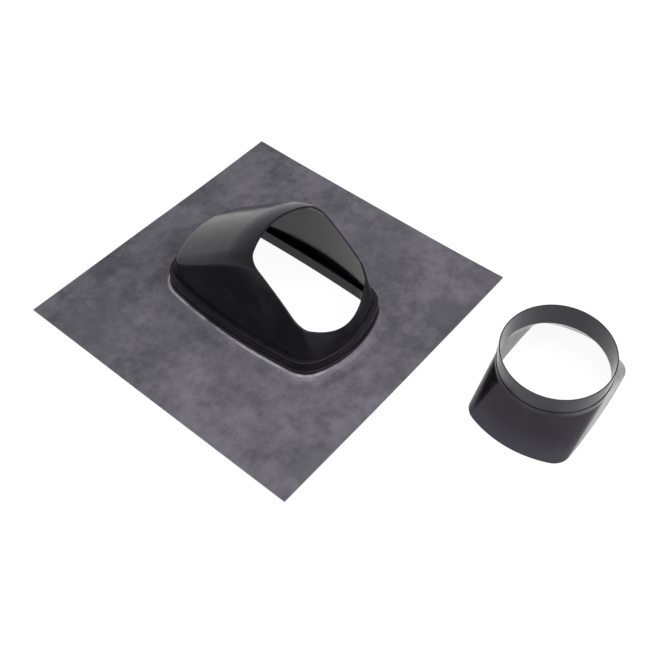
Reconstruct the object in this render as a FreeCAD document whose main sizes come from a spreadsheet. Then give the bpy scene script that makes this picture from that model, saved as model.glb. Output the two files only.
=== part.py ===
import FreeCAD, Part
import math
import os
import Sketcher
from FreeCAD import Placement, Rotation, Vector

# A flashing boot for a round pipe through a pitched roof: a square lead sheet, a moulded
# hood that stands over the hole in it, the frame that grips the lead from below, and a
# loose collar that swings over the hood's sloping mouth to set the pipe upright.
# The sheet lies flat with its underside at height 0 and its middle at the origin.
# X runs along the slope of the roof, Y across it, and Z up.

# ---------------------------------------------------------------- driving dimensions, mm
DIMENSIONS = [
    ("sheet_side", 400.0, "lead sheet, length and width"),
    ("lead_thickness", 1.8, "lead sheet, code 4"),
    ("hood_offset", 3.0, "hood and frame, up the slope from the sheet's middle"),
    ("dress_margin", 2.0, "flat of the lead left outside the hood's foot"),
    ("dress_run", 5.0, "slope of the lead down from the frame to the roof"),
    ("upturn_height", 9.0, "lead turned up inside the hood"),
    ("upturn_clearance", 0.3, "between the upturned lead and the frame"),
    ("foot_half_length", 129.0, "hood foot, middle to end"),
    ("foot_half_width", 80.0, "hood foot, middle to side"),
    ("foot_end_radius", 140.0, "bulge of the foot's ends"),
    ("foot_side_radius", 640.0, "bulge of the foot's sides"),
    ("foot_corner_radius", 34.0, "corners of the foot"),
    ("lower_band_height", 4.7, "first upright of the foot"),
    ("band_step", 1.5, "set back between the two uprights"),
    ("upper_band_height", 13.5, "second upright of the foot"),
    ("ledge_width", 5.0, "shelf from the upper band to the hood's walls"),
    ("hood_wall", 1.8, "moulding thickness of the hood"),
    ("side_draft", 9.3, "lean of the long walls, degrees"),
    ("end_draft", 17.3, "lean of the end walls, degrees"),
    ("crown_corner_radius", 8.0, "corners of the walls where they would top out"),
    ("crown_side_radius", 400.0, "bulge of the long walls where they would top out"),
    ("peak_offset", 8.5, "top of the mouth, along the slope from the hood's middle"),
    ("peak_height", 132.0, "top of the mouth above the roof"),
    ("roof_pitch", 35.5, "fall of the hood's back, degrees"),
    ("roof_top_pitch", 18.0, "fall of the back where it meets the mouth, degrees"),
    ("roof_bow_radius", 110.0, "bow of the back between its two falls"),
    ("roof_crown_radius", 130.0, "crown across the hood's back"),
    ("roof_edge_radius", 19.0, "rounding from the back into the walls"),
    ("mouth_low_height", 35.0, "bottom of the mouth above the roof"),
    ("mouth_bow_radius", 350.0, "bow of the mouth's edge seen from the side"),
    ("step_edge_radius", 1.0, "rounding of the foot's two steps"),
    ("frame_thickness", 2.0, "frame flange under the lead"),
    ("frame_wall", 2.2, "frame upright"),
    ("frame_height", 17.0, "frame upright above the roof"),
    ("frame_inset", 13.3, "frame upright, in from the hood's foot"),
    ("frame_side_radius", 2200.0, "bulge of the frame upright's sides"),
    ("frame_corner_radius", 30.0, "corners of the frame upright"),
    ("frame_edge_inset", 1.0, "frame flange, in from the hood's foot"),
    ("ring_radius", 62.0, "collar ring, outside"),
    ("ring_wall", 1.3, "collar ring thickness"),
    ("ring_height", 23.0, "collar ring above its step"),
    ("collar_step", 0.7, "collar band proud of the ring"),
    ("collar_band_height", 8.5, "collar band below the step"),
    ("collar_wall", 1.8, "collar skirt thickness"),
    ("skirt_height", 43.5, "collar skirt below its band"),
    ("skirt_half_length", 94.5, "collar skirt at its foot, middle to end"),
    ("skirt_end_radius", 118.0, "bulge of the skirt's ends"),
    ("skirt_side_radius", 900.0, "bulge of the skirt's flat sides"),
    ("skirt_corner_radius", 22.0, "corners of the skirt's foot"),
    ("ring_tilt", 3.0, "lean of the collar ring, degrees"),
    ("ring_shift", 5.0, "collar ring off the middle of its skirt"),
    ("side_split", 8.0, "half of the ring's arc over a flat side, degrees"),
    ("end_split", 26.0, "half of the ring's arc over an end, degrees"),
    ("collar_gap", 66.7, "collar skirt clear of the lead sheet's edge"),
    ("collar_across", 95.5, "collar off the middle line of the sheet"),
    ("collar_turn", 3.0, "turn of the loose collar, degrees"),
    ("roof_bow_sweep", 90.0, "turn of the cut that bows the back, degrees"),
    ("wall_overrun", 20.0, "hood walls run above the mouth before it is cut"),
    ("cut_overrun", 5.0, "cutting shapes run past the piece they cut"),
]

doc = FreeCAD.newDocument("PipeFlashingBoot")
sizes = doc.addObject("Spreadsheet::Sheet", "Sizes")
for row, (alias, amount, meaning) in enumerate(DIMENSIONS, start=1):
    sizes.set(f"A{row}", alias)
    sizes.set(f"B{row}", str(amount))
    sizes.set(f"C{row}", meaning)
    sizes.setAlias(f"B{row}", alias)
doc.recompute()

# ---------------------------------------------------------------- heights and insets
# Each is an expression on the sheet, used for the geometry and for its binding alike.
SEAT = "(Sizes.frame_thickness + Sizes.lead_thickness)"
BAND_TOP = f"({SEAT} + Sizes.lower_band_height)"
LEDGE = f"({BAND_TOP} + Sizes.upper_band_height)"
LEDGE_INSET = "(Sizes.band_step + Sizes.ledge_width)"
WALL_TOP = "(Sizes.peak_height + Sizes.wall_overrun)"
THROUGH = "(4 * Sizes.foot_half_length)"
UPTURN_OUTSET = "(Sizes.upturn_clearance + Sizes.lead_thickness)"
BAND_RADIUS = "(Sizes.ring_radius + Sizes.collar_step)"
BORE_RADIUS = "(Sizes.ring_radius - Sizes.ring_wall)"
RING_TOP = "(Sizes.collar_band_height + Sizes.ring_height)"
TOLERANCE = 1e-4
LEANING = 0.5


def number(expression):
    """The present value of an expression on the sheet."""
    return float(sizes.evalExpression(expression))


class Outline:
    """A rounded rectangle with bulging sides: two end arcs, two side arcs, four corners.

    Every member is an expression on the sheet.
    """

    def __init__(self, half_length, half_width, end_radius, side_radius, corner_radius):
        self.half_length = half_length
        self.half_width = half_width
        self.end_radius = end_radius
        self.side_radius = side_radius
        self.corner_radius = corner_radius

    def inset(self, amount):
        """The outline that lies a steady amount inside this one."""
        return Outline(*[f"({member} - {amount})" for member in (
            self.half_length, self.half_width, self.end_radius,
            self.side_radius, self.corner_radius)])


FOOT = Outline(*[f"Sizes.foot_{name}" for name in (
    "half_length", "half_width", "end_radius", "side_radius", "corner_radius")])
WALL_LINE = FOOT.inset(LEDGE_INSET)
UPRIGHT = Outline(
    "(Sizes.foot_half_length - Sizes.frame_inset)",
    "(Sizes.foot_half_width - Sizes.frame_inset)",
    "(Sizes.foot_end_radius - Sizes.frame_inset)",
    "Sizes.frame_side_radius",
    "Sizes.frame_corner_radius")
LEAD_HOLE = UPRIGHT.inset("-Sizes.upturn_clearance")
SKIRT = Outline(
    "Sizes.skirt_half_length",
    BAND_RADIUS,
    "Sizes.skirt_end_radius",
    "Sizes.skirt_side_radius",
    "Sizes.skirt_corner_radius")


def wall_outline(height, side_radius, corner_radius):
    """The hood's leaning walls where they cross a height; they spring from the ledge."""
    rise = f"({height} - {LEDGE})"
    return Outline(
        f"({WALL_LINE.half_length} - {rise} * tan(Sizes.end_draft * 1deg))",
        f"({WALL_LINE.half_width} - {rise} * tan(Sizes.side_draft * 1deg))",
        WALL_LINE.end_radius,
        side_radius,
        corner_radius)


# ---------------------------------------------------------------- sketch helpers
def new_body(name):
    """An empty body whose label will name its file."""
    body = doc.addObject("PartDesign::Body", name)
    body.Label = name
    return body


def new_sketch(body, name, role="XY_Plane", height=None):
    """A sketch on one of the body's own origin planes, raised by an expression."""
    sketch = body.newObject("Sketcher::SketchObject", name)
    plane = [item for item in body.Origin.OriginFeatures if item.Role == role][0]
    sketch.AttachmentSupport = [(plane, "")]
    sketch.MapMode = "FlatFace"
    if height is not None:
        sketch.setExpression("AttachmentOffset.Base.z", height)
    return sketch


def fix(sketch, name, kind, *place, size):
    """Add a named dimension and bind it to an expression on the sheet."""
    index = sketch.addConstraint(Sketcher.Constraint(kind, *place, number(size)))
    sketch.renameConstraint(index, name)
    sketch.setExpression(f"Constraints.{name}", size)


def arc_between(center, radius, start, end):
    """The arc about a centre that runs anticlockwise from one point to another."""
    circle = Part.Circle(center, Vector(0, 0, 1), radius)
    first = math.atan2(start.y - center.y, start.x - center.x)
    last = math.atan2(end.y - center.y, end.x - center.x)
    if last < first:
        last += 2 * math.pi
    return Part.ArcOfCircle(circle, first, last)


def corner_center(half_length, half_width, end_radius, side_radius, corner_radius):
    """The centre of the corner arc that touches both the end arc and the side arc."""
    end_x = half_length - end_radius
    side_y = half_width - side_radius
    reach_end = end_radius - corner_radius
    reach_side = side_radius - corner_radius
    span = math.hypot(end_x, side_y)
    along = (reach_end ** 2 - reach_side ** 2 + span ** 2) / (2 * span)
    across = math.sqrt(reach_end ** 2 - along ** 2)
    ux = -end_x / span
    uy = side_y / span
    first = Vector(end_x + ux * along - uy * across, uy * along + ux * across, 0)
    second = Vector(end_x + ux * along + uy * across, uy * along - ux * across, 0)
    return first if first.x + first.y > second.x + second.y else second


def add_outline(sketch, outline, tag, turned=False):
    """Draw an outline's eight arcs, anticlockwise from the right end, fully constrained.

    turned=True lays its length along the sketch's own Y.
    """
    values = [number(member) for member in (
        outline.half_length, outline.half_width, outline.end_radius,
        outline.side_radius, outline.corner_radius)]
    half_length, half_width, end_radius, side_radius, corner_radius = values
    corner = corner_center(*values)
    end_center = Vector(half_length - end_radius, 0, 0)
    side_center = Vector(0, half_width - side_radius, 0)
    end_touch = end_center + (corner - end_center).normalize() * end_radius
    side_touch = side_center + (corner - side_center).normalize() * side_radius
    base = sketch.GeometryCount

    def flip(point, sign_x, sign_y):
        point = Vector(point.x * sign_x, point.y * sign_y, 0)
        return Vector(-point.y, point.x, 0) if turned else point

    starts = [flip(end_touch, 1, -1), flip(end_touch, 1, 1), flip(side_touch, 1, 1),
              flip(side_touch, -1, 1), flip(end_touch, -1, 1), flip(end_touch, -1, -1),
              flip(side_touch, -1, -1), flip(side_touch, 1, -1)]
    centers = [flip(end_center, 1, 1), flip(corner, 1, 1), flip(side_center, 1, 1),
               flip(corner, -1, 1), flip(end_center, -1, 1), flip(corner, -1, -1),
               flip(side_center, 1, -1), flip(corner, 1, -1)]
    radii = [end_radius, corner_radius, side_radius, corner_radius] * 2
    for step in range(8):
        sketch.addGeometry(
            arc_between(centers[step], radii[step], starts[step], starts[(step + 1) % 8]), False)
    for step in range(8):
        sketch.addConstraint(Sketcher.Constraint(
            "Tangent", base + step, 2, base + (step + 1) % 8, 1))
    names = ["end", "corner", "side", "corner"] * 2
    radius_of = {"end": outline.end_radius, "corner": outline.corner_radius,
                 "side": outline.side_radius}
    for step, name in enumerate(names):
        fix(sketch, f"{tag}_{name}_{step}", "Radius", base + step, size=radius_of[name])
    long_axis, short_axis = (-2, -1) if turned else (-1, -2)
    for step in (0, 4):
        place_center(sketch, f"{tag}_end_center_{step}", base + step, long_axis,
                     f"{outline.end_radius} - {outline.half_length}")
    for step in (2, 6):
        place_center(sketch, f"{tag}_side_center_{step}", base + step, short_axis,
                     f"{outline.side_radius} - {outline.half_width}")


def place_center(sketch, name, arc, axis, distance):
    """Hold an arc's centre on an axis of the sketch, a distance from the origin."""
    sketch.addConstraint(Sketcher.Constraint("PointOnObject", arc, 3, axis))
    center = sketch.getPoint(arc, 3)
    kind = "DistanceX" if axis == -1 else "DistanceY"
    offset = center.x if axis == -1 else center.y
    size = distance if number(distance) >= 0 else f"-({distance})"
    if offset < 0:
        fix(sketch, name, kind, arc, 3, -1, 1, size=size)
    else:
        fix(sketch, name, kind, -1, 1, arc, 3, size=size)


def add_polygon(sketch, corners):
    """Draw straight lines from corner to corner; two expressions place each corner."""
    points = [Vector(number(x), number(y), 0) for x, y in corners]
    count = len(points)
    base = sketch.GeometryCount
    for step in range(count):
        sketch.addGeometry(Part.LineSegment(points[step], points[(step + 1) % count]), False)
    for step in range(count):
        sketch.addConstraint(Sketcher.Constraint(
            "Coincident", base + step, 2, base + (step + 1) % count, 1))
        place_point(sketch, f"corner_{step}", base + step, 1, corners[step])


def place_point(sketch, name, element, end, place):
    """Hold a point of an element at two expressions measured from the origin."""
    for kind, letter, size in (("DistanceX", "x", place[0]), ("DistanceY", "y", place[1])):
        if number(size) >= 0:
            fix(sketch, f"{name}_{letter}", kind, -1, 1, element, end, size=size)
        else:
            fix(sketch, f"{name}_{letter}", kind, element, end, -1, 1, size=f"-({size})")


def add_capped_arc(sketch, center, radius, left, right, top):
    """Draw an arc bulging up, closed above by two uprights and a level line.

    left, right and top are expressions: the arc's two ends across, and the line's height.
    """
    cx, cy, size = number(center[0]), number(center[1]), number(radius)
    ends = [Vector(x, cy + math.sqrt(size ** 2 - (x - cx) ** 2), 0)
            for x in (number(left), number(right))]
    tops = [Vector(end.x, number(top), 0) for end in ends]
    middle = Vector(cx, cy, 0)
    sketch.addGeometry(arc_between(middle, size, ends[1], ends[0]), False)
    sketch.addGeometry(Part.LineSegment(ends[0], tops[0]), False)
    sketch.addGeometry(Part.LineSegment(tops[0], tops[1]), False)
    sketch.addGeometry(Part.LineSegment(tops[1], ends[1]), False)
    for first, first_end, second, second_end in ((0, 2, 1, 1), (1, 2, 2, 1), (2, 2, 3, 1),
                                                 (3, 2, 0, 1)):
        sketch.addConstraint(Sketcher.Constraint(
            "Coincident", first, first_end, second, second_end))
    fix(sketch, "arc_radius", "Radius", 0, size=radius)
    place_point(sketch, "arc_center", 0, 3, center)
    place_point(sketch, "top_left", 2, 1, (left, top))
    place_point(sketch, "top_right", 2, 2, (right, top))
    sketch.addConstraint(Sketcher.Constraint("Vertical", 1))
    sketch.addConstraint(Sketcher.Constraint("Vertical", 3))


# ---------------------------------------------------------------- feature helpers
def pad(body, name, sketch, length):
    """Raise a sketch by an expression."""
    feature = body.newObject("PartDesign::Pad", name)
    feature.Profile = sketch
    feature.setExpression("Length", length)
    doc.recompute()
    return feature


def pocket(body, name, sketch, length, middle=False, flipped=False):
    """Cut a sketch away, and make sure that it did cut."""
    before = body.Shape.Volume
    feature = body.newObject("PartDesign::Pocket", name)
    feature.Profile = sketch
    feature.setExpression("Length", length)
    feature.Midplane = middle
    feature.Reversed = flipped
    doc.recompute()
    if not body.Shape.Volume < before:
        raise RuntimeError(f"{name} cuts nothing")
    return feature


def loft(body, kind, name, lower, upper):
    """Join two sketches with the straight-sided skin between them."""
    feature = body.newObject(f"PartDesign::{kind}Loft", name)
    feature.Profile = lower
    feature.Sections = [upper]
    feature.Ruled = True
    doc.recompute()
    return feature


def names_of(shape, kind, wanted):
    """The sub-element names of the faces or edges that pass a test."""
    elements = shape.Faces if kind == "Face" else shape.Edges
    return [f"{kind}{index}" for index, element in enumerate(elements, start=1)
            if wanted(element)]


def fillet(body, name, base, edges, radius):
    """Round some edges of the body's last feature by an expression."""
    feature = body.newObject("PartDesign::Fillet", name)
    feature.Base = (base, edges)
    feature.setExpression("Radius", radius)
    doc.recompute()
    return feature


def place_over_hole(item):
    """Move a piece that was drawn about the hole to the hole's place in the sheet."""
    item.setExpression("Placement.Base.x", "Sizes.hood_offset")
    doc.recompute()


# ---------------------------------------------------------------- lead sheet
def build_lead_sheet():
    """A square sheet, dressed up over the frame's flange and turned up round the hole."""
    body = new_body("lead_sheet")
    square = new_sketch(body, "SheetOutline")
    left = "(-Sizes.sheet_side / 2 - Sizes.hood_offset)"
    right = "(Sizes.sheet_side / 2 - Sizes.hood_offset)"
    near = "(-Sizes.sheet_side / 2)"
    far = "(Sizes.sheet_side / 2)"
    add_polygon(square, [(left, near), (right, near), (right, far), (left, far)])
    pad(body, "Sheet", square, "Sizes.lead_thickness")

    dress_out = "(Sizes.dress_margin + Sizes.dress_run)"
    low_top = new_sketch(body, "DressedSlopeLow", height="Sizes.lead_thickness")
    add_outline(low_top, FOOT.inset(f"-{dress_out}"), "low")
    high_top = new_sketch(body, "DressedSlopeHigh", height=SEAT)
    add_outline(high_top, FOOT.inset("-Sizes.dress_margin"), "high")
    loft(body, "Additive", "DressedTop", low_top, high_top)

    shift = "Sizes.lead_thickness / 2"
    low_under = new_sketch(body, "UndersideLow")
    add_outline(low_under, FOOT.inset(f"({shift} - {dress_out})"), "low")
    high_under = new_sketch(body, "UndersideHigh", height="Sizes.frame_thickness")
    add_outline(high_under, FOOT.inset(f"({shift} - Sizes.dress_margin)"), "high")
    loft(body, "Subtractive", "DressedUnderside", low_under, high_under)

    hole = new_sketch(body, "HoleOutline", height=SEAT)
    add_outline(hole, LEAD_HOLE, "hole")
    pocket(body, "Hole", hole, f"{SEAT} + Sizes.cut_overrun")

    upturn = new_sketch(body, "UpturnOutline", height="Sizes.frame_thickness")
    add_outline(upturn, UPRIGHT.inset(f"-{UPTURN_OUTSET}"), "outer")
    add_outline(upturn, LEAD_HOLE, "inner")
    pad(body, "Upturn", upturn, "Sizes.lead_thickness + Sizes.upturn_height")
    place_over_hole(body)
    return body


# ---------------------------------------------------------------- hood
def build_hood():
    """A thin moulding: two upright bands and a ledge, leaning walls, and a sloping mouth."""
    outside = hood_solid("HoodOutside", "0", "0")
    round_bands(outside)
    cavity = hood_solid("HoodCavity", "Sizes.hood_wall", "Sizes.cut_overrun")
    hood = doc.addObject("Part::Cut", "hood")
    hood.Label = "hood"
    hood.Base = outside
    hood.Tool = cavity
    place_over_hole(hood)
    return hood


def hood_solid(name, wall, overrun):
    """The hood's form, drawn in by a wall and run past its foot and its mouth."""
    body = new_body(name)
    bottom = f"({SEAT} - {overrun})"
    wall_foot = new_sketch(body, f"{name}WallFoot", height=bottom)
    springing = wall_outline(bottom, WALL_LINE.side_radius, WALL_LINE.corner_radius)
    add_outline(wall_foot, springing.inset(wall), "foot")
    wall_crown = new_sketch(body, f"{name}WallCrown", height=WALL_TOP)
    crown = wall_outline(WALL_TOP, "Sizes.crown_side_radius", "Sizes.crown_corner_radius")
    add_outline(wall_crown, crown.inset(wall), "crown")
    loft(body, "Additive", f"{name}Walls", wall_foot, wall_crown)
    back_radius = f"(Sizes.roof_crown_radius - {wall})"
    mouth_radius = f"(Sizes.mouth_bow_radius + {overrun})"
    cut_back(body, name, back_radius)
    cut_mouth(body, name, mouth_radius)
    round_back(body, name, wall, f"Sizes.roof_edge_radius - {wall}")

    upper = new_sketch(body, f"{name}UpperBandOutline", height=BAND_TOP)
    add_outline(upper, FOOT.inset("Sizes.band_step").inset(wall), "upper")
    pad(body, f"{name}UpperBand", upper, f"Sizes.upper_band_height - {wall}")
    lower = new_sketch(body, f"{name}LowerBandOutline", height=bottom)
    add_outline(lower, FOOT.inset(wall), "lower")
    pad(body, f"{name}LowerBand", lower, f"Sizes.lower_band_height - {wall} + {overrun}")
    return body


def back_sketch(body, name, depth):
    """A sketch square to the hood's back where it straightens, a depth below its surface."""
    steep = "(Sizes.roof_pitch * 1deg)"
    gentle = "(Sizes.roof_top_pitch * 1deg)"
    along = (f"Sizes.peak_offset - Sizes.roof_bow_radius * (sin{steep} - sin{gentle})"
             f" + ({depth}) * sin{steep}")
    height = (f"Sizes.peak_height - Sizes.roof_bow_radius * (cos{gentle} - cos{steep})"
              f" - ({depth}) * cos{steep}")
    sketch = new_sketch(body, name, role="YZ_Plane")
    sketch.AttachmentOffset = Placement(
        Vector(0, number(height), number(along)),
        Rotation(Vector(1, 0, 0), -number("Sizes.roof_pitch")))
    sketch.setExpression("AttachmentOffset.Base.y", height)
    sketch.setExpression("AttachmentOffset.Base.z", along)
    sketch.setExpression("AttachmentOffset.Rotation.Angle", "-Sizes.roof_pitch * 1deg")
    return sketch


def cut_back(body, name, radius):
    """Slope the hood's back down from the mouth, crowned across, bowed and then straight."""
    half = "(Sizes.foot_half_width + Sizes.wall_overrun)"
    straight = back_sketch(body, f"{name}BackOutline", "0")
    add_capped_arc(straight, ("0", "-Sizes.roof_crown_radius"), radius,
                   f"-{half}", half, "Sizes.peak_height")
    pocket(body, f"{name}Back", straight, THROUGH)
    bowed = back_sketch(body, f"{name}BowOutline", "Sizes.roof_bow_radius")
    add_capped_arc(bowed, ("0", "Sizes.roof_bow_radius - Sizes.roof_crown_radius"), radius,
                   f"-{half}", half, "Sizes.roof_bow_radius + Sizes.peak_height")
    turn = body.newObject("PartDesign::Groove", f"{name}BackBow")
    turn.Profile = bowed
    turn.ReferenceAxis = (bowed, ["H_Axis"])
    turn.setExpression("Angle", "Sizes.roof_bow_sweep")
    doc.recompute()


def cut_mouth(body, name, radius):
    """Cut the mouth: a slope that bows up a little between its top and bottom edges."""
    mouth = new_sketch(body, f"{name}MouthOutline", role="XZ_Plane")
    end_fall = f"((Sizes.mouth_low_height - {LEDGE}) * tan(Sizes.end_draft * 1deg))"
    run = f"({WALL_LINE.half_length} - {end_fall} - Sizes.peak_offset)"
    fall = "(Sizes.peak_height - Sizes.mouth_low_height)"
    chord = f"(sqrt({run} ^ 2 + {fall} ^ 2))"
    depth = f"(sqrt(Sizes.mouth_bow_radius ^ 2 - ({chord} / 2) ^ 2))"
    center = (f"Sizes.peak_offset + {run} / 2 - {depth} * {fall} / {chord}",
              f"Sizes.peak_height - {fall} / 2 - {depth} * {run} / {chord}")
    add_capped_arc(mouth, center, radius,
                   "Sizes.peak_offset - 2 * Sizes.wall_overrun", "Sizes.foot_half_length",
                   "Sizes.peak_height + 2 * Sizes.wall_overrun")
    pocket(body, f"{name}Mouth", mouth, THROUGH, middle=True)


def back_points():
    """A point on the middle line of each stretch of the hood's back: bowed, then straight."""
    steep = math.radians(number("Sizes.roof_pitch"))
    gentle = math.radians(number("Sizes.roof_top_pitch"))
    bow = number("Sizes.roof_bow_radius")
    peak = Vector(number("Sizes.peak_offset"), 0, number("Sizes.peak_height"))
    points = []
    for angle, run in (((steep + gentle) / 2, 0), (steep, number("Sizes.wall_overrun"))):
        points.append(peak + Vector(
            -bow * (math.sin(angle) - math.sin(gentle)) - run * math.cos(angle), 0,
            -bow * (math.cos(gentle) - math.cos(angle)) - run * math.sin(angle)))
    return points


def round_back(body, name, wall, radius):
    """Round the edge where the hood's back runs into its walls."""
    walls = body.Tip
    inward = Vector(0, 0, -number(wall))
    back = []
    for point in back_points():
        probe = Part.Vertex(point + inward)
        back.append(min(walls.Shape.Faces, key=lambda face: face.distToShape(probe)[0]))

    def is_back_edge(edge):
        owners = [face for face in walls.Shape.Faces
                  if any(edge.isSame(other) for other in face.Edges)]
        on_back = [face for face in owners if any(face.isSame(other) for other in back)]
        upright = [face for face in owners if abs(tilt(face)) < LEANING]
        return len(on_back) == 1 and len(upright) == 1
    fillet(body, f"{name}BackEdge", walls, names_of(walls.Shape, "Edge", is_back_edge), radius)


def tilt(face):
    """The upward part of a face's own normal, taken at its middle."""
    first, last, low, high = face.ParameterRange
    return face.normalAt((first + last) / 2, (low + high) / 2).z


def round_bands(body):
    """Ease the outer edges of the foot's two steps."""
    bands = body.Tip
    levels = [(number(BAND_TOP), "0"), (number(LEDGE), "Sizes.band_step")]

    def is_step_edge(edge):
        box = edge.BoundBox
        for level, inset in levels:
            flat = abs(box.ZMin - level) < TOLERANCE and abs(box.ZMax - level) < TOLERANCE
            if flat and on_outline(edge, FOOT.inset(inset)):
                return True
        return False
    fillet(body, "StepEdges", bands, names_of(bands.Shape, "Edge", is_step_edge),
           "Sizes.step_edge_radius")


def on_outline(edge, outline):
    """Whether an edge is one of an outline's arcs, told by its radius and its reach."""
    if not isinstance(edge.Curve, Part.Circle):
        return False
    middle = edge.valueAt((edge.FirstParameter + edge.LastParameter) / 2)
    reach_x = number(outline.half_length)
    reach_y = number(outline.half_width)
    if min(abs(abs(middle.x) - reach_x), abs(abs(middle.y) - reach_y)) < TOLERANCE:
        return True
    return abs(edge.Curve.Radius - number(outline.corner_radius)) < TOLERANCE


# ---------------------------------------------------------------- frame under the lead
def build_frame():
    """A flange under the lead, with an upright inside the hole that the lead turns up to."""
    body = new_body("retaining_frame")
    flange = new_sketch(body, "FlangeOutline")
    add_outline(flange, FOOT.inset("Sizes.frame_edge_inset"), "outer")
    add_outline(flange, UPRIGHT.inset("Sizes.frame_wall"), "inner")
    pad(body, "Flange", flange, "Sizes.frame_thickness")
    upright = new_sketch(body, "UprightOutline")
    add_outline(upright, UPRIGHT, "outer")
    add_outline(upright, UPRIGHT.inset("Sizes.frame_wall"), "inner")
    pad(body, "Upright", upright, "Sizes.frame_height")
    place_over_hole(body)
    return body


# ---------------------------------------------------------------- collar
def add_split_circle(sketch, radius):
    """A circle in eight arcs that match an outline's ends, sides and corners in turn."""
    size = number(radius)
    end_half = math.radians(number("Sizes.end_split"))
    side_half = math.radians(number("Sizes.side_split"))
    quarter = math.pi / 2
    angles = []
    for turn in range(4):
        half = end_half if turn % 2 else side_half
        angles += [turn * quarter - half, turn * quarter + half]
    points = [Vector(size * math.cos(angle), size * math.sin(angle), 0) for angle in angles]
    for step in range(8):
        sketch.addGeometry(
            arc_between(Vector(0, 0, 0), size, points[step], points[(step + 1) % 8]), False)
    for step in range(8):
        sketch.addConstraint(Sketcher.Constraint("Coincident", step, 2, (step + 1) % 8, 1))
    for step in range(7):
        sketch.addConstraint(Sketcher.Constraint("Coincident", step, 3, -1, 1))
    fix(sketch, "circle_radius", "Radius", 0, size=radius)
    sketch.addConstraint(Sketcher.Constraint("Equal", 7, 0))
    for step, point in enumerate(points):
        on_end = (step // 2) % 2
        split = "Sizes.end_split" if on_end else "Sizes.side_split"
        kind = "DistanceX" if on_end else "DistanceY"
        ahead = (point.x if on_end else point.y) > 0
        places = (-1, 1, step, 1) if ahead else (step, 1, -1, 1)
        fix(sketch, f"split_{step}", kind, *places, size=f"{radius} * sin({split} * 1deg)")


def ring_sketch(body, name, rise):
    """A sketch square to the ring's leaning axis, a rise above the skirt's top."""
    tilt = "(Sizes.ring_tilt * 1deg)"
    sketch = new_sketch(body, name)
    along = f"-Sizes.ring_shift - ({rise}) * sin{tilt}"
    height = f"Sizes.skirt_height + ({rise}) * cos{tilt}"
    sketch.AttachmentOffset = Placement(
        Vector(0, number(along), number(height)),
        Rotation(Vector(1, 0, 0), number("Sizes.ring_tilt")))
    sketch.setExpression("AttachmentOffset.Base.y", along)
    sketch.setExpression("AttachmentOffset.Base.z", height)
    sketch.setExpression("AttachmentOffset.Rotation.Angle", "Sizes.ring_tilt * 1deg")
    return sketch


def ring_pad(body, name, radius, rise, length):
    """A disc of the ring, square to its leaning axis."""
    sketch = ring_sketch(body, f"{name}Outline", rise)
    add_split_circle(sketch, radius)
    return pad(body, name, sketch, length)


def build_collar():
    """A round ring on a skirt that spreads to the hood's width and a longer foot."""
    body = new_body("collar")
    foot = new_sketch(body, "SkirtFoot")
    add_outline(foot, SKIRT, "skirt", turned=True)
    top = ring_sketch(body, "SkirtTop", "0")
    add_split_circle(top, BAND_RADIUS)
    loft(body, "Additive", "Skirt", foot, top)
    ring_pad(body, "Band", BAND_RADIUS, "0", "Sizes.collar_band_height")
    ring_pad(body, "Ring", "Sizes.ring_radius", "0", RING_TOP)

    inner_foot = new_sketch(body, "SkirtFootInside")
    add_outline(inner_foot, SKIRT.inset("Sizes.collar_wall"), "inside", turned=True)
    inner_top = ring_sketch(body, "SkirtTopInside", "0")
    add_split_circle(inner_top, BORE_RADIUS)
    loft(body, "Subtractive", "SkirtInside", inner_foot, inner_top)
    bore = ring_sketch(body, "BoreOutline", "0")
    add_split_circle(bore, BORE_RADIUS)
    pocket(body, "Bore", bore, RING_TOP, flipped=True)
    place_collar(body)
    return body


def place_collar(body):
    """Stand the loose collar beside the sheet, turned a little."""
    along = f"Sizes.sheet_side / 2 + Sizes.collar_gap + {BAND_RADIUS}"
    body.Placement = Placement(Vector(number(along), number("Sizes.collar_across"), 0),
                               Rotation(Vector(0, 0, 1), number("Sizes.collar_turn")))
    body.setExpression("Placement.Base.x", along)
    body.setExpression("Placement.Base.y", "Sizes.collar_across")
    body.setExpression("Placement.Rotation.Angle", "Sizes.collar_turn * 1deg")
    doc.recompute()


# ---------------------------------------------------------------- check and write
def check(parts):
    """Stop if any object failed or any part is not one sound solid."""
    for item in doc.Objects:
        if "Invalid" in item.State or "Error" in item.State:
            raise RuntimeError(f"{item.Name} failed: {item.State}")
    for part in parts:
        shape = part.Shape
        if shape.isNull() or not shape.isValid() or len(shape.Solids) != 1:
            raise RuntimeError(f"{part.Label} is not one valid solid")


def write(parts):
    """Write each part to a file named after it."""
    os.makedirs("parts", exist_ok=True)
    for part in parts:
        part.Shape.exportStep(f"parts/{part.Label}.step")
        box = part.Shape.BoundBox
        print(f"{part.Label}: {part.Shape.Volume / 1000:.1f} cm3,"
              f" x {box.XMin:.1f} to {box.XMax:.1f}, y {box.YMin:.1f} to {box.YMax:.1f},"
              f" z {box.ZMin:.1f} to {box.ZMax:.1f}")


pieces = [build_lead_sheet(), build_hood(), build_frame(), build_collar()]
doc.recompute()
check(pieces)
write(pieces)
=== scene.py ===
"""Looks of a pipe flashing boot: a lead slate, a moulded hood, its frame and a loose collar."""

import logging
import math
from dataclasses import dataclass, field
from enum import Enum
from typing import Any

import bmesh
import bpy
from mathutils import Matrix, Vector
from mathutils.bvhtree import BVHTree


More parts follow.
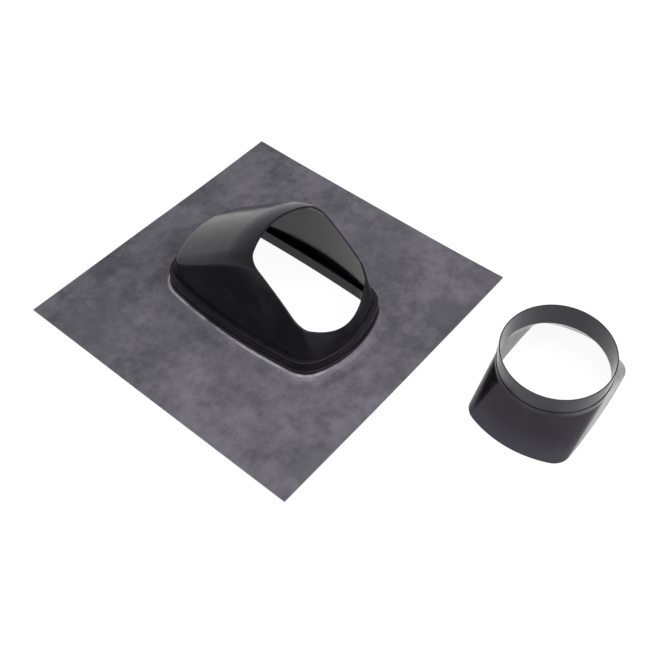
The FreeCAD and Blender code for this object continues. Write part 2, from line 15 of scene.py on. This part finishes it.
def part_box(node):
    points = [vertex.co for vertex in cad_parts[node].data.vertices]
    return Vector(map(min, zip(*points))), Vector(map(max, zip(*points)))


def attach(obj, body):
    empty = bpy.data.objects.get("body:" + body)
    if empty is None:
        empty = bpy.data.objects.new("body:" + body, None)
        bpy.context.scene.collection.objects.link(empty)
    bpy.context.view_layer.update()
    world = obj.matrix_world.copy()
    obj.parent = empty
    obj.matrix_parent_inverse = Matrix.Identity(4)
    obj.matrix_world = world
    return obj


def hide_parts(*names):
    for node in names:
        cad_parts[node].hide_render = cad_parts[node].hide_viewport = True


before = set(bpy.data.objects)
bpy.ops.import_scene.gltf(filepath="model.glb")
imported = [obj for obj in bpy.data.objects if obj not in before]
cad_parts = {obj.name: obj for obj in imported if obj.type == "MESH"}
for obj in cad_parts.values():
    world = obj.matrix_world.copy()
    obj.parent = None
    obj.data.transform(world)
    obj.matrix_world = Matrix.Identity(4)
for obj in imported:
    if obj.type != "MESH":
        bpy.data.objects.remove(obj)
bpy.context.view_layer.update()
LOG = logging.getLogger("flashing_boot")

MM = 0.001
LIP_DISTANCE = "lip_distance"

Colour = tuple[float, float, float, float]
Point = tuple[float, float, float]
Span = tuple[float, float]


class Slot(Enum):
    """The record's material slots; nothing in this script uses them."""

    LEAD = "lead"


class Ray(Enum):
    """The kinds of ray that a material can tell apart."""

    CAMERA = "Is Camera Ray"
    GLOSSY = "Is Glossy Ray"
    TRANSMISSION = "Is Transmission Ray"
    DIFFUSE = "Is Diffuse Ray"


class Graph:
    """A node tree, with short calls for the nodes that the finishes and the sky use."""

    def __init__(self, owner: bpy.types.Material | bpy.types.World) -> None:
        """Starts an empty tree.

        Args:
            owner: the material or world that the tree belongs to.
        """
        self.owner = owner
        owner.use_nodes = True
        self.tree = owner.node_tree
        self.tree.nodes.clear()

    @classmethod
    def paint(cls, name: str) -> "Graph":
        """Starts a new material's tree."""
        return cls(bpy.data.materials.new(name))

    def node(self, kind: str, **sockets: Any) -> bpy.types.Node:
        """Adds a node and fills its inputs.

        Args:
            kind: the node's type, without the ShaderNode prefix.
            sockets: input names, spaces written as underscores, with a value or an output socket.

        Returns:
            The new node.
        """
        made = self.tree.nodes.new("ShaderNode" + kind)
        for name, value in sockets.items():
            self.feed(made.inputs[name.replace("_", " ")], value)
        return made

    def feed(self, socket: bpy.types.NodeSocket, value: Any) -> None:
        """Links an output to a socket, or sets the socket's own value.

        Args:
            socket: the input to fill.
            value: an output socket, a number or a colour.
        """
        if isinstance(value, bpy.types.NodeSocket):
            self.tree.links.new(value, socket)
        else:
            socket.default_value = value

    def place(self, scale: Point | None = None) -> bpy.types.NodeSocket:
        """Object coordinates, stretched where a scale is given.

        Args:
            scale: how much denser the pattern gets along each axis.

        Returns:
            The coordinate output.
        """
        where = self.node("TexCoord").outputs["Object"]
        if scale is None:
            return where
        return self.node("Mapping", Vector=where, Scale=scale).outputs["Vector"]

    def ray(self, kind: Ray) -> bpy.types.NodeSocket:
        """Tells one kind of ray from the rest: 1 for that kind, 0 for any other."""
        return self.node("LightPath").outputs[kind.value]

    def seen(self) -> bpy.types.NodeSocket:
        """Is 1 where the background shows: to the camera, in gloss and through glass."""
        shown = self.math("MAXIMUM", self.ray(Ray.GLOSSY), self.ray(Ray.TRANSMISSION))
        return self.math("MAXIMUM", self.ray(Ray.CAMERA), shown)

    def noise(self, where: bpy.types.NodeSocket, scale: float, detail: float = 4.0,
              roughness: float = 0.5) -> bpy.types.NodeSocket:
        """Cloudy noise between 0 and 1.

        Args:
            where: the coordinates.
            scale: clouds per metre.
            detail: octaves.
            roughness: how strong the fine octaves are.

        Returns:
            The noise's value output.
        """
        made = self.node("TexNoise", Vector=where, Scale=scale, Detail=detail, Roughness=roughness)
        return made.outputs["Fac"]

    def remap(self, value: Any, low: float, high: float, to_low: float = 0.0,
              to_high: float = 1.0) -> bpy.types.NodeSocket:
        """Stretches a value from one span to another, smoothly and clamped.

        Args:
            value: the value to stretch.
            low: the value that becomes to_low.
            high: the value that becomes to_high.
            to_low: the new low end.
            to_high: the new high end.

        Returns:
            The stretched value.
        """
        made = self.node("MapRange")
        made.interpolation_type = "SMOOTHSTEP"
        for name, number in (("Value", value), ("From Min", low), ("From Max", high),
                             ("To Min", to_low), ("To Max", to_high)):
            self.feed(made.inputs[name], number)
        return made.outputs["Result"]

    def math(self, operation: str, first: Any, second: Any = 0.0) -> bpy.types.NodeSocket:
        """One sum of two values.

        Args:
            operation: the Math node's operation.
            first: the first value.
            second: the second value.

        Returns:
            The result.
        """
        made = self.node("Math")
        made.operation = operation
        self.feed(made.inputs[0], first)
        self.feed(made.inputs[1], second)
        return made.outputs[0]

    def pick(self, share: Any, first: Any, second: Any) -> bpy.types.NodeSocket:
        """Mixes two numbers.

        Args:
            share: how much of the second number counts.
            first: the first number.
            second: the second number.

        Returns:
            The mixed number.
        """
        made = self.node("Mix")
        self.feed(made.inputs["Factor"], share)
        self.feed(made.inputs["A"], first)
        self.feed(made.inputs["B"], second)
        return made.outputs["Result"]

    def blend(self, share: Any, first: Any, second: Any) -> bpy.types.NodeSocket:
        """Mixes two colours.

        Args:
            share: how much of the second colour shows.
            first: the first colour.
            second: the second colour.

        Returns:
            The mixed colour.
        """
        made = self.node("Mix")
        made.data_type = "RGBA"
        self.feed(made.inputs["Factor"], share)
        colours = [socket for socket in made.inputs if socket.type == "RGBA"]
        self.feed(colours[0], first)
        self.feed(colours[1], second)
        return [socket for socket in made.outputs if socket.type == "RGBA"][0]

    def measure(self, operation: str, first: Any, second: Any) -> bpy.types.NodeSocket:
        """One number from two vectors, such as a distance or a dot product.

        Args:
            operation: the Vector Math node's operation.
            first: the first vector.
            second: the second vector.

        Returns:
            The number.
        """
        made = self.node("VectorMath")
        made.operation = operation
        self.feed(made.inputs[0], first)
        self.feed(made.inputs[1], second)
        return made.outputs["Value"]

    def bump(self, height: Any, depth: float, under: Any = None) -> bpy.types.NodeSocket:
        """Raises the surface by a height pattern.

        Args:
            height: the pattern, from 0 to 1.
            depth: the relief's full depth, in metres.
            under: the normal of a bump that this one adds to.

        Returns:
            The bumped normal.
        """
        made = self.node("Bump", Height=height, Distance=depth, Strength=1.0)
        if under is not None:
            self.feed(made.inputs["Normal"], under)
        return made.outputs["Normal"]

    def finish(self, shader: bpy.types.Node) -> Any:
        """Joins the shader to the output.

        Args:
            shader: the node whose first output is the surface.

        Returns:
            The finished material or world.
        """
        kind = "OutputMaterial" if isinstance(self.owner, bpy.types.Material) else "OutputWorld"
        self.tree.links.new(shader.outputs[0], self.node(kind).inputs["Surface"])
        return self.owner


@dataclass(frozen=True)
class Cloud:
    """A cloudy pattern: how fine it is, how it breaks up, and the span that becomes 0 to 1."""

    scale: float
    detail: float
    roughness: float
    low: float
    high: float

    def draw(self, graph: Graph, where: bpy.types.NodeSocket) -> bpy.types.NodeSocket:
        """Draws the pattern.

        Args:
            graph: the node tree.
            where: the coordinates.

        Returns:
            The pattern, from 0 to 1.
        """
        noise = graph.noise(where, self.scale, self.detail, self.roughness)
        return graph.remap(noise, self.low, self.high)


@dataclass(frozen=True)
class RolledLead:
    """Milled sheet lead: grey, cloudy with oxide, faintly lined by the rolls and flecked; painted
    shade and a painted highlight round the lip, some painted shade behind the hood and partly painted
    light on the +X side.
    """

    dark: Colour = (0.022, 0.020, 0.028, 1.0)
    light: Colour = (0.142, 0.133, 0.162, 1.0)
    # Painted highlight colour for the lip's top edge, where light catches the upturned lead.
    lip_highlight: Colour = (0.380, 0.365, 0.410, 1.0)
    # Dark colour shared by the real smudges and stains and by the painted shade in the lip's channel
    # and behind the hood.
    grime_and_shade: Colour = (0.062, 0.058, 0.072, 1.0)
    fleck: Colour = (0.045, 0.042, 0.053, 1.0)
    metallic: float = 0.20
    roughness: float = 0.52
    roughness_play: float = 0.06

    clouds: Cloud = Cloud(13.0, 8.0, 0.68, 0.40, 0.60)
    mottle: Cloud = Cloud(75.0, 6.0, 0.70, 0.38, 0.62)
    broad: Cloud = Cloud(5.0, 2.0, 0.5, 0.35, 0.65)
    smudges: Cloud = Cloud(12.0, 9.0, 0.72, 0.56, 0.66)
    patches: Cloud = Cloud(22.0, 2.0, 0.5, 0.52, 0.62)
    # Noise that breaks up the painted shade and highlight round the lip.
    lip_shading_breakup: Cloud = Cloud(34.0, 4.0, 0.6, 0.35, 0.60)
    cloud_share: float = 0.36
    mottle_share: float = 0.22
    line_share: float = 0.07
    broad_share: float = 0.16
    # Lighter over the +X half: partly painted light from the right, partly the lead's own tone.
    side_light_and_tone_share: float = 0.22
    side_span: Span = (-0.20, 0.02)
    corner_span: Span = (0.44, 0.20)
    smudge_share: float = 0.50

    roll_lines: Point = (420.0, 6.0, 6.0)
    line_span: Span = (0.3, 0.7)
    line_depth: float = 0.00003
    dent_scale: float = 28.0
    dent_depth: float = 0.0012
    fleck_scale: float = 70.0
    fleck_span: Span = (0.05, 0.10)

    # Where the painted shade and highlight round the lip fall: the near side, the channel outside the
    # lip and the lip's top edge.
    near_side: Span = (-0.02, -0.07)
    channel_inner: Span = (0.3 * MM, 2.5 * MM)
    channel_outer: Span = (12.0 * MM, 4.0 * MM)
    channel_shade_share: float = 0.75
    edge_height: Span = (2.9 * MM, 3.7 * MM)
    edge_reach: Span = (4.0 * MM, 2.0 * MM)
    edge_highlight_share: Span = (0.08, 0.72)

    # Dark patches: x, y, radius and strength of each. The one behind the hood, at (0.055, 0.150), is
    # partly painted shade; the others are stains.
    stains_and_shade: tuple[tuple[float, float, float, float], ...] = (
        (0.197, 0.105, 0.048, 0.75),
        (0.187, -0.158, 0.030, 0.55),
        (-0.120, -0.175, 0.055, 0.45),
        (0.055, 0.150, 0.070, 0.35),
        (-0.060, -0.110, 0.040, 0.35),
    )
    patch_noise: tuple[float, float, float] = (32.0, 8.0, 0.66)
    patch_ragged: float = 0.16
    patch_core: float = 0.55

    def stain_and_shade(self, graph: Graph, where: bpy.types.NodeSocket) -> bpy.types.NodeSocket:
        """Ragged dark patches at fixed places on the sheet: x, y, radius and strength of each. The
        patch behind the hood, at (0.055, 0.150), is partly painted shade; the others are stains.

        Args:
            graph: the lead's node tree.
            where: the coordinates.

        Returns:
            How dark the patches make each point, from 0 to 1.
        """
        ragged = graph.math("SUBTRACT", graph.noise(where, *self.patch_noise), 0.5)
        ragged = graph.math("MULTIPLY", ragged, self.patch_ragged)
        darkened = 0.0
        for x, y, radius, strength in self.stains_and_shade:
            away = graph.measure("DISTANCE", where, (x, y, 0.0))
            spread = graph.math("ADD", away, ragged)
            patch = graph.remap(spread, radius, radius * self.patch_core, 0.0, strength)
            darkened = graph.math("MAXIMUM", patch, darkened)
        return darkened

    def tone(self, graph: Graph, where: bpy.types.NodeSocket, clouds: bpy.types.NodeSocket,
             lines: bpy.types.NodeSocket) -> bpy.types.NodeSocket:
        """How light the lead is at each point, before its marks.

        Args:
            graph: the lead's node tree.
            where: the coordinates.
            clouds: the oxide clouds.
            lines: the roll lines.

        Returns:
            The tone, from dark at 0 to light at 1.
        """
        axes = graph.node("SeparateXYZ", Vector=where).outputs
        corner = graph.remap(graph.math("SUBTRACT", axes["X"], axes["Y"]), *self.corner_span)
        # Partly painted light from the right and partly the lead's own tone: lighter over the +X half,
        # fading out towards the +X, -Y corner.
        side = graph.math("MULTIPLY", graph.remap(axes["X"], *self.side_span), corner)
        parts = (
            (self.mottle.draw(graph, where), self.mottle_share),
            (graph.remap(lines, *self.line_span), self.line_share),
            (self.broad.draw(graph, where), self.broad_share),
            (side, self.side_light_and_tone_share),
        )
        tone = graph.math("MULTIPLY", clouds, self.cloud_share)
        for part, share in parts:
            tone = graph.math("ADD", tone, graph.math("MULTIPLY", part, share))
        return tone

    def specks(self, graph: Graph, where: bpy.types.NodeSocket) -> bpy.types.NodeSocket:
        """Small dark flecks, in patches.

        Args:
            graph: the lead's node tree.
            where: the coordinates.

        Returns:
            How strong a fleck is at each point, from 0 to 1.
        """
        spots = graph.node("TexVoronoi", Vector=where, Scale=self.fleck_scale)
        speck = graph.remap(spots.outputs["Distance"], *self.fleck_span, 1.0, 0.0)
        return graph.math("MULTIPLY", speck, self.patches.draw(graph, where))

    def lip_light_and_shade(self, graph: Graph, where: bpy.types.NodeSocket,
                 colour: bpy.types.NodeSocket) -> bpy.types.NodeSocket:
        """Adds the marks left round the lip: grime in its channel and a rubbed line on its edge.

        Args:
            graph: the lead's node tree.
            where: the coordinates.
            colour: the lead's colour so far.

        Returns:
            The colour with the painted shade and highlight.
        """
        axes = graph.node("SeparateXYZ", Vector=where).outputs
        attribute = graph.node("Attribute")
        attribute.attribute_name = LIP_DISTANCE
        away = attribute.outputs["Fac"]
        near_side = graph.remap(axes["Y"], *self.near_side)
        broken = graph.math("MULTIPLY", self.lip_shading_breakup.draw(graph, where), near_side)

        # Painted shade in the channel outside the lip, on the near side only.
        channel = graph.math("MULTIPLY", graph.remap(away, *self.channel_inner),
                             graph.remap(away, *self.channel_outer))
        channel_shade = graph.math("MULTIPLY", channel, graph.math("MULTIPLY", broken, self.channel_shade_share))
        colour = graph.blend(channel_shade, colour, self.grime_and_shade)

        # Painted highlight along the lip's top edge: faint all round, stronger on the near side.
        edge = graph.math("MULTIPLY", graph.remap(axes["Z"], *self.edge_height),
                          graph.remap(away, *self.edge_reach))
        highlight = graph.math("MULTIPLY", edge, graph.remap(broken, 0.0, 1.0, *self.edge_highlight_share))
        return graph.blend(highlight, colour, self.lip_highlight)

    def material(self) -> bpy.types.Material:
        """Builds the lead's material."""
        graph = Graph.paint("rolled_lead")
        where = graph.place()
        clouds = self.clouds.draw(graph, where)
        lines = graph.noise(graph.place(self.roll_lines), 1.0, 3.0, 0.6)
        colour = graph.blend(self.tone(graph, where, clouds, lines), self.dark, self.light)

        smudge = graph.math("MULTIPLY", self.smudges.draw(graph, where), self.smudge_share)
        colour = graph.blend(smudge, colour, self.grime_and_shade)
        # Dark patches: stains, and painted shade behind the hood.
        colour = graph.blend(self.stain_and_shade(graph, where), colour, self.grime_and_shade)
        colour = graph.blend(self.specks(graph, where), colour, self.fleck)
        colour = self.lip_light_and_shade(graph, where, colour)

        relief = graph.bump(graph.noise(where, self.dent_scale, 3.0, 0.5), self.dent_depth)
        relief = graph.bump(lines, self.line_depth, relief)
        rough = graph.remap(clouds, 0.0, 1.0, self.roughness + self.roughness_play,
                            self.roughness - self.roughness_play)
        return graph.finish(graph.node("BsdfPrincipled", Base_Color=colour, Metallic=self.metallic,
                                       Roughness=rough, Normal=relief))


@dataclass(frozen=True)
class GlossyPlastic:
    """Black moulded plastic with a polished skin that is never quite flat."""

    name: str = "hood_plastic"
    base: Colour = (0.0070, 0.0064, 0.0080, 1.0)
    dusty: Colour = (0.0130, 0.0120, 0.0150, 1.0)
    dust: Cloud = Cloud(30.0, 5.0, 0.6, 0.4, 0.7)
    gloss_tint: Colour = (0.90, 0.85, 1.0, 1.0)
    roughness: float = 0.19
    polish: float = 0.03
    dulling: float = 0.06
    specular: float = 0.16
    # Painted reflection of the white floor: a lighter colour low on the part.
    floor_reflection: Colour = (0.045, 0.042, 0.055, 1.0)
    floor_reflection_share: float = 0.0
    floor_reflection_span: Span = (26.0 * MM, 2.0 * MM)
    swell_scale: float = 26.0
    swell_depth: float = 0.0002
    grain_scale: float = 900.0
    grain_depth: float = 0.000012

    def material(self) -> bpy.types.Material:
        """Builds the plastic's material."""
        graph = Graph.paint(self.name)
        where = graph.place()
        dust = self.dust.draw(graph, where)
        colour = graph.blend(dust, self.base, self.dusty)
        # Painted reflection of the floor, lighter towards the foot, fading out by 26 mm up.
        if self.floor_reflection_share > 0.0:
            height = graph.node("SeparateXYZ", Vector=where).outputs["Z"]
            low = graph.math("MULTIPLY", graph.remap(height, *self.floor_reflection_span), self.floor_reflection_share)
            colour = graph.blend(low, colour, self.floor_reflection)
        rough = graph.remap(dust, 0.0, 1.0, self.roughness - self.polish,
                            self.roughness + self.dulling)
        relief = graph.bump(graph.noise(where, self.swell_scale, 1.0, 0.4), self.swell_depth)
        grain = graph.noise(where, self.grain_scale, 2.0, 0.5)
        relief = graph.bump(grain, self.grain_depth, relief)
        shader = graph.node("BsdfPrincipled", Base_Color=colour, Roughness=rough, Normal=relief)
        shader.inputs["Specular IOR Level"].default_value = self.specular
        shader.inputs["Specular Tint"].default_value = self.gloss_tint
        return graph.finish(shader)


@dataclass
class LeadSlate:
    """The lead slate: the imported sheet, with the gentle rise and fall that hand-laid lead has."""

    node: str = "lead_sheet"
    cell: float = 5.0 * MM
    merge: float = 0.001 * MM
    rise: float = 1.1 * MM
    corner_rises: tuple[tuple[int, int, float], ...] = (
        (-1, 1, 2.6 * MM),
        (1, 1, 3.2 * MM),
        (1, -1, 2.2 * MM),
    )
    corner_power: int = 4
    calm: float = 45.0 * MM
    calm_start: float = 0.4
    waves: tuple[Point, ...] = ((4.1, 1.3, 0.6), (1.7, -5.3, 2.1))
    groove_offset: float = 11.0 * MM
    groove_width: float = 6.0 * MM
    groove_depth: float = 0.7 * MM
    lip_foot: float = 3.7 * MM
    sheet_top: float = 1.2 * MM
    fine_start: float = 0.1 * MM
    fine_reach: float = 22.0 * MM
    flat: float = math.radians(0.4)
    sharp: float = math.radians(32.0)
    finish: RolledLead = field(default_factory=RolledLead)

    def build(self) -> bpy.types.Object:
        """Copies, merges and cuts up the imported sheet, then lets it roll.

        Returns:
            The slate's object.
        """
        low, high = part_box(self.node)
        work = bmesh.new()
        work.from_mesh(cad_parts[self.node].data)
        bmesh.ops.remove_doubles(work, verts=work.verts, dist=self.merge)
        bmesh.ops.dissolve_limit(work, angle_limit=self.flat, verts=work.verts, edges=work.edges)
        self.cut_up(work, low, high)
        lip = self.lip_tree(work)
        near = []
        for edge in work.edges:
            away = max(self.away(lip, vert.co) for vert in edge.verts)
            if self.fine_start < away < self.fine_reach:
                near.append(edge)
        bmesh.ops.subdivide_edges(work, edges=near, cuts=2, use_grid_fill=True)
        self.roll(work, lip, low, high)
        mesh = bpy.data.meshes.new("lead_slate")
        self.set_edges(work)
        work.to_mesh(mesh)
        work.free()
        piece = bpy.data.objects.new("lead_slate", mesh)
        bpy.context.scene.collection.objects.link(piece)
        self.mark_lip(piece, lip)
        return piece

    @staticmethod
    def away(lip: BVHTree, point: Vector) -> float:
        """Measures how far a point is from the lip."""
        return lip.find_nearest(point)[3]

    def cut_up(self, work: bmesh.types.BMesh, low: Vector, high: Vector) -> None:
        """Cuts the sheet into cells, so that it can bend.

        Args:
            work: the sheet.
            low: the sheet's lowest corner.
            high: the sheet's highest corner.
        """
        for axis in range(2):
            count = round((high[axis] - low[axis]) / self.cell)
            normal = Vector((axis == 0, axis == 1, 0))
            for step in range(1, count):
                at = Vector()
                at[axis] = low[axis] + step * (high[axis] - low[axis]) / count
                every = list(work.verts) + list(work.edges) + list(work.faces)
                bmesh.ops.bisect_plane(work, geom=every, dist=self.merge, plane_co=at,
                                       plane_no=normal)

    def lip_tree(self, work: bmesh.types.BMesh) -> BVHTree:
        """The faces of the lip that stands up round the hole.

        Args:
            work: the sheet.

        Returns:
            A search tree of the faces that rise above the flat sheet.
        """
        points = [vert.co.copy() for vert in work.verts]
        work.verts.index_update()
        risen = [[vert.index for vert in face.verts] for face in work.faces
                 if all(vert.co.z > self.lip_foot for vert in face.verts)]
        return BVHTree.FromPolygons(points, risen)

    def roll(self, work: bmesh.types.BMesh, lip: BVHTree, low: Vector, high: Vector) -> None:
        """Lifts the sheet in long low waves, more towards its corners and not at all at the lip.

        Args:
            work: the sheet.
            lip: the search tree of the lip's faces.
            low: the sheet's lowest corner.
            high: the sheet's highest corner.
        """
        half = (high.x - low.x) / 2
        for vert in work.verts:
            away = self.away(lip, vert.co)
            free = min(1.0, max(0.0, away / self.calm - self.calm_start))
            free = free * free * (3.0 - 2.0 * free)
            u, v = (min(1.0, max(-1.0, side / half)) for side in vert.co.xy)
            wave = 2.0 + sum(math.sin(along * u + across * v + shift)
                             for along, across, shift in self.waves)
            from_corner = min(1.0, 2.0 + u + v)
            lift = self.rise * wave / 4 * max(abs(u), abs(v)) ** 2 * from_corner
            for side_x, side_y, height in self.corner_rises:
                lift += height * ((1.0 + side_x * u) * (1.0 + side_y * v) / 4) ** self.corner_power
            groove = math.exp(-((away - self.groove_offset) / self.groove_width) ** 2)
            sink = self.groove_depth * groove if vert.co.z > self.sheet_top else 0.0
            vert.co.z += lift * free - sink

    def set_edges(self, work: bmesh.types.BMesh) -> None:
        """Keeps the sheet's cut edges crisp and the rest smooth.

        Args:
            work: the sheet.
        """
        for face in work.faces:
            face.smooth = True
        for edge in work.edges:
            edge.smooth = not edge.is_manifold or edge.calc_face_angle(0.0) < self.sharp

    def mark_lip(self, piece: bpy.types.Object, lip: BVHTree) -> None:
        """Writes how far each point is from the lip, for the painted shade and highlight round the
        lip.

        Args:
            piece: the slate's object.
            lip: the search tree of the lip's faces.
        """
        layer = piece.data.attributes.new(LIP_DISTANCE, "FLOAT", "POINT")
        for vert in piece.data.vertices:
            layer.data[vert.index].value = self.away(lip, vert.co)

    def dress(self, piece: bpy.types.Object) -> None:
        """Gives the slate its finish and its place in the frame.

        Args:
            piece: the slate's object.
        """
        piece.data.materials.clear()
        piece.data.materials.append(self.finish.material())
        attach(piece, "root")
        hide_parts(self.node)
        LOG.info("lead slate: %d faces", len(piece.data.polygons))


@dataclass
class Mouldings:
    """The three plastic mouldings: the hood, the frame under the lead and the loose collar."""

    finishes: tuple[tuple[str, GlossyPlastic], ...] = (
        ("hood", GlossyPlastic()),
        ("retaining_frame", GlossyPlastic(name="frame_plastic")),
        # The collar takes the painted floor reflection at its foot.
        ("collar", GlossyPlastic(name="collar_plastic", floor_reflection_share=0.6, specular=0.45)),
    )

    def dress(self) -> None:
        """Gives each packed moulding the plastic finish."""
        for name, finish in self.finishes:
            material = finish.material()
            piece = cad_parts[name]
            for slot in piece.material_slots:
                slot.material = material
            LOG.info("%s: %d faces", name, len(piece.data.polygons))


@dataclass(frozen=True)
class SoftBox:
    """One soft lamp, aimed at a point."""

    name: str
    place: Point
    aim: Point
    width: float
    height: float
    watts: float

    def build(self) -> bpy.types.Object:
        """Hangs the lamp.

        Returns:
            The lamp's object.
        """
        light = bpy.data.lights.new(self.name, "AREA")
        light.shape = "RECTANGLE"
        light.size, light.size_y = self.width, self.height
        light.energy = self.watts
        lamp = bpy.data.objects.new(self.name, light)
        bpy.context.scene.collection.objects.link(lamp)
        direction = Vector(self.aim) - Vector(self.place)
        turn = direction.to_track_quat("-Z", "Y").to_matrix().to_4x4()
        lamp.matrix_world = Matrix.Translation(self.place) @ turn
        return lamp


@dataclass
class Studio:
    """A plain pale floor, soft lamps and a white backdrop."""

    floor_side: float = 14.0
    floor_drop: float = 0.3 * MM
    floor_white: float = 0.93
    floor_shade: float = 0.12
    floor_bounce: float = 0.50
    sky_bright: float = 0.176
    sky_dark: float = 0.048
    sky_side: Point = (0.30, -0.95, 0.0)
    sky_span: Span = (-0.20, 0.80)
    lamps: tuple[SoftBox, ...] = (
        SoftBox("top", (0.15, -0.15, 1.80), (0.05, 0.0, 0.0), 1.0, 1.0, 16.0),
        SoftBox("key_right", (2.00, 0.25, 1.55), (0.10, 0.0, 0.0), 1.8, 1.6, 48.0),
        SoftBox("fill_front", (-0.50, -1.90, 2.00), (0.0, 0.0, 0.0), 1.5, 0.9, 14.0),
    )

    def build_floor(self) -> bpy.types.Object:
        """Lays the floor.

        Returns:
            The floor's object.
        """
        work = bmesh.new()
        bmesh.ops.create_grid(work, x_segments=1, y_segments=1, size=self.floor_side / 2,
                              matrix=Matrix.Translation((0.0, 0.0, -self.floor_drop)))
        mesh = bpy.data.meshes.new("floor")
        work.to_mesh(mesh)
        work.free()
        floor = bpy.data.objects.new("floor", mesh)
        bpy.context.scene.collection.objects.link(floor)
        mesh.materials.append(self.floor_paint())
        return floor

    def floor_paint(self) -> bpy.types.Material:
        """Paints the floor: white with a faint shadow where it is seen, grey where it lights the part.

        Returns:
            The floor's material.
        """
        graph = Graph.paint("pale_floor")
        seen = graph.seen()
        shown = graph.math("MULTIPLY", seen, self.floor_shade)
        shade = graph.pick(graph.ray(Ray.DIFFUSE), shown, self.floor_bounce)
        tone = graph.node("CombineColor", Red=shade, Green=shade, Blue=shade).outputs[0]
        paint = graph.node("BsdfDiffuse", Color=tone)
        glow = graph.node("Emission", Strength=graph.math("MULTIPLY", seen, self.floor_white))
        both = graph.node("AddShader")
        graph.feed(both.inputs[0], paint.outputs[0])
        graph.feed(both.inputs[1], glow.outputs[0])
        return graph.finish(both)

    def build_sky(self) -> None:
        """Lights the room softly, more from one low side, and puts a white backdrop round it."""
        world = bpy.data.worlds.new("studio")
        bpy.context.scene.world = world
        graph = Graph(world)
        direction = graph.node("TexCoord").outputs["Generated"]
        facing = graph.measure("DOT_PRODUCT", direction, Vector(self.sky_side).normalized())
        soft = graph.remap(facing, *self.sky_span, self.sky_dark, self.sky_bright)
        strength = graph.pick(graph.seen(), soft, 1.0)
        graph.finish(graph.node("Background", Color=(1.0, 1.0, 1.0, 1.0), Strength=strength))

    def build(self) -> None:
        """Builds the floor, the sky and the lamps."""
        self.build_floor()
        self.build_sky()
        for lamp in self.lamps:
            lamp.build()


@dataclass(frozen=True)
class Viewpoint:
    """Where the camera stands, what it looks at, and its lens."""

    place: Point = (0.52828, -0.52010, 0.83627)
    aim: Point = (0.0938, 0.0026, 0.0)
    roll: float = math.radians(0.2232)
    lens: float = 49.97
    sensor: float = 36.0

    def build(self) -> bpy.types.Object:
        """Sets up the camera.

        Returns:
            The camera's object.
        """
        data = bpy.data.cameras.new("camera")
        data.lens = self.lens
        data.sensor_width = self.sensor
        camera = bpy.data.objects.new("camera", data)
        bpy.context.scene.collection.objects.link(camera)
        direction = Vector(self.aim) - Vector(self.place)
        turn = direction.to_track_quat("-Z", "Y").to_matrix().to_4x4()
        roll = Matrix.Rotation(self.roll, 4, "Z")
        camera.matrix_world = Matrix.Translation(self.place) @ turn @ roll
        bpy.context.scene.camera = camera
        return camera


def main() -> None:
    """Builds and dresses every piece, then the studio and the camera."""
    logging.basicConfig(level=logging.INFO, format="%(name)s: %(message)s")
    slate = LeadSlate()
    slate.dress(slate.build())
    Mouldings().dress()
    Studio().build()
    Viewpoint().build()
    bpy.context.scene.view_settings.view_transform = "Standard"


if __name__ == "__main__":
    main()
